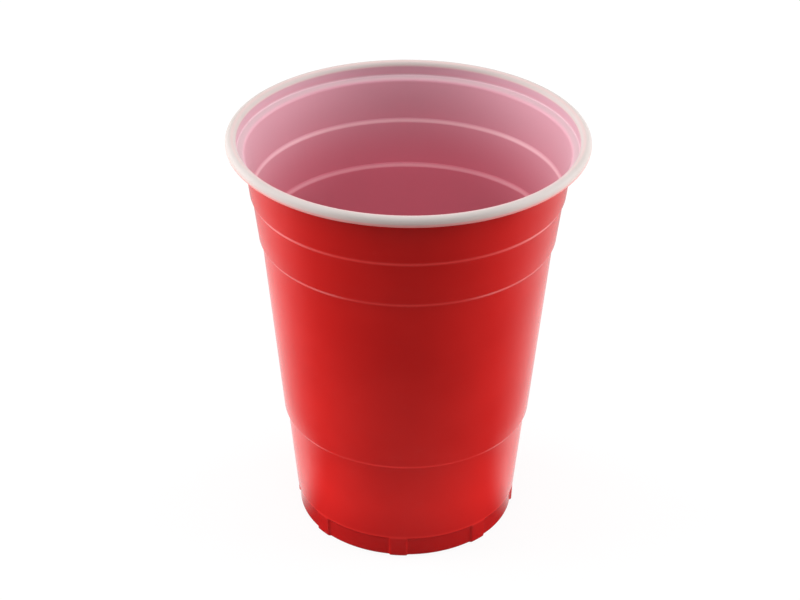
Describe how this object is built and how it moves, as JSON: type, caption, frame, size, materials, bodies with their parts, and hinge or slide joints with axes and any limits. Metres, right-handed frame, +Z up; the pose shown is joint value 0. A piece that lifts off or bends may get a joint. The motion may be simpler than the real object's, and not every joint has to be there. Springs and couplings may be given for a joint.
{
  "type": "plastic party cup",
  "caption": "Thin tapered plastic party cup with a rolled rim, a stacking ledge, a stepped side wall, a lugged foot band and a raised base.",
  "frame": {"origin": "centre of the foot ring, on the surface that the cup stands on", "axes": "+Z up along the cup's axis, -Y towards the viewer of the picture"},
  "size_m": [0.098, 0.098, 0.1182],
  "materials": {
    "cup_sheet": "glossy red outside, white to pale pink inside and on the rolled rim"
  },
  "bodies": {
    "root": {"cup": "cup_sheet"}
  },
  "joints": []
}
